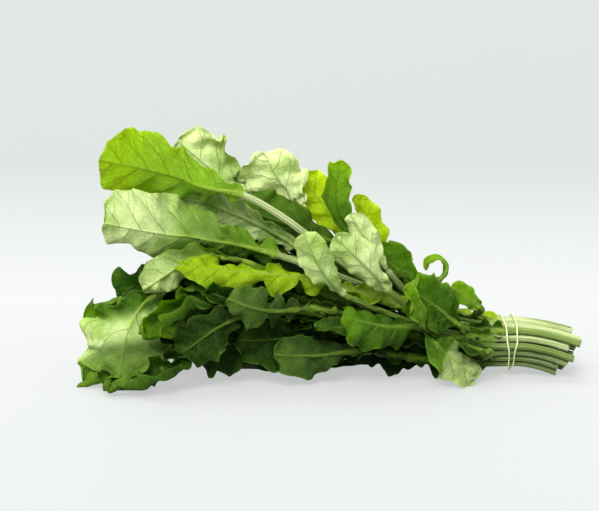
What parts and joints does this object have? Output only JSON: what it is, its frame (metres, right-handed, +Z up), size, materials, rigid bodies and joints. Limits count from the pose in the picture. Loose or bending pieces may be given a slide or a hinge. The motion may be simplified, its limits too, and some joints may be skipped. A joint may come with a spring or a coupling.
{
  "type": "bunch of arugula",
  "caption": "Bunch of arugula lying on its side: long lobed leaves with wavy edges fan out from round stems, held near the cut ends by an elastic band that goes round twice.",
  "frame": {"origin": "middle of the bunch's footprint, on the surface that it lies on", "axes": "+X along the bunch towards the cut stem ends, -Y towards the picture's viewer, +Z up"},
  "size_m": [0.3036, 0.1166, 0.1531],
  "materials": {
    "leaf": "soft satin upper face, paler matt underside",
    "elastic": "matt"
  },
  "bodies": {
    "root": {"leaf_01": "leaf", "leaf_02": "leaf", "leaf_03": "leaf", "leaf_04": "leaf", "leaf_05": "leaf", "leaf_06": "leaf", "leaf_07": "leaf", "leaf_08": "leaf", "leaf_09": "leaf", "leaf_10": "leaf", "leaf_11": "leaf", "leaf_12": "leaf", "leaf_13": "leaf", "leaf_14": "leaf", "leaf_15": "leaf", "leaf_16": "leaf", "leaf_17": "leaf", "leaf_18": "leaf", "leaf_19": "leaf", "leaf_20": "leaf", "leaf_21": "leaf", "leaf_22": "leaf", "leaf_23": "leaf", "leaf_24": "leaf", "leaf_25": "leaf", "leaf_26": "leaf", "leaf_27": "leaf", "leaf_28": "leaf", "leaf_29": "leaf", "leaf_30": "leaf", "leaf_31": "leaf", "leaf_32": "leaf", "leaf_33": "leaf", "leaf_34": "leaf", "leaf_35": "leaf", "leaf_36": "leaf", "leaf_37": "leaf", "leaf_38": "leaf", "leaf_39": "leaf", "leaf_40": "leaf", "leaf_41": "leaf", "leaf_42": "leaf", "leaf_43": "leaf", "leaf_44": "leaf", "leaf_45": "leaf", "elastic_band": "elastic"}
  },
  "joints": []
}
